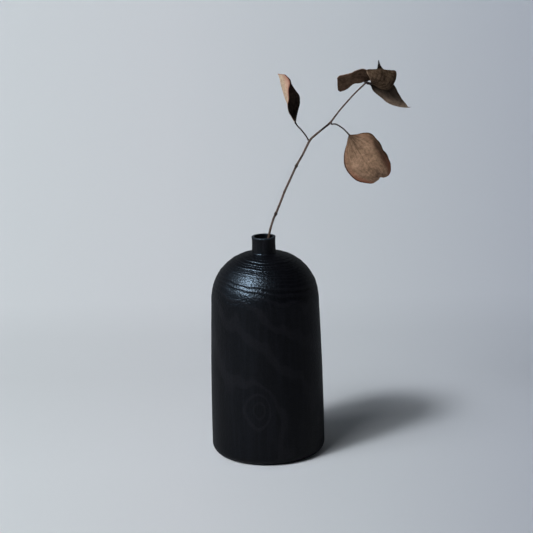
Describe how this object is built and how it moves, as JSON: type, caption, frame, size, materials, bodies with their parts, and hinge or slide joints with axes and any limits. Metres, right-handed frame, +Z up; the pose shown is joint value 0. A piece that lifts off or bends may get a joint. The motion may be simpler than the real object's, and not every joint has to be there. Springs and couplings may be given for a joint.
{
  "type": "bud vase",
  "caption": "Turned wooden bud vase with a domed shoulder and short narrow neck, drilled for a stem and holding a dried leafy twig.",
  "frame": {"origin": "middle of the flat base, on the axis of the turned body", "axes": "+Z up along the axis of the turned body; +X towards the side that the twig leans to"},
  "size_m": [0.1827, 0.1024, 0.3546],
  "materials": {
    "stained_wood": "black stain, satin, open grain",
    "bark": "dry, matt",
    "stalk": "dry, matt",
    "dark_leaf": "dry leaf, matt, dark brown",
    "pale_leaf": "dry leaf, matt, taupe brown"
  },
  "bodies": {
    "vase": {"vase_body": "stained_wood"},
    "twig": {"twig": "bark"},
    "left_leaf": {"left_leaf_stalk": "stalk", "left_leaf_blade": "dark_leaf"},
    "right_leaf": {"right_leaf_stalk": "stalk", "right_leaf_blade": "pale_leaf"},
    "upper_leaf": {"upper_leaf_stalk": "stalk", "upper_leaf_blade": "dark_leaf"},
    "arched_leaf": {"arched_leaf_stalk": "stalk", "arched_leaf_blade": "pale_leaf"},
    "hanging_leaf": {"hanging_leaf_stalk": "stalk", "hanging_leaf_blade": "pale_leaf"}
  },
  "joints": [
    {"name": "twig_lift", "type": "slide", "parent": "vase", "child": "twig", "axis": [0, 0, 1], "range_m": [0, 0.152]},
    {"name": "left_leaf_sway", "type": "hinge", "parent": "twig", "child": "left_leaf", "pos_m": [0.0414, 0.0081, 0.2854], "axis": [0, 1, 0], "range_deg": [-6, 6], "stiffness_Nm_per_rad": 0.004},
    {"name": "right_leaf_sway", "type": "hinge", "parent": "twig", "child": "right_leaf", "pos_m": [0.0629, 0.0029, 0.2993], "axis": [0, 1, 0], "range_deg": [-8, 8], "stiffness_Nm_per_rad": 0.004},
    {"name": "upper_leaf_sway", "type": "hinge", "parent": "twig", "child": "upper_leaf", "pos_m": [0.0916, -0.0024, 0.3373], "axis": [0, 1, 0], "range_deg": [-5, 5], "stiffness_Nm_per_rad": 0.004},
    {"name": "arched_leaf_sway", "type": "hinge", "parent": "twig", "child": "arched_leaf", "pos_m": [0.0932, -0.006, 0.337], "axis": [0, 1, 0], "range_deg": [-5, 5], "stiffness_Nm_per_rad": 0.004},
    {"name": "hanging_leaf_sway", "type": "hinge", "parent": "twig", "child": "hanging_leaf", "pos_m": [0.0945, -0.0039, 0.3353], "axis": [0, 1, 0], "range_deg": [-5, 5], "stiffness_Nm_per_rad": 0.004}
  ]
}
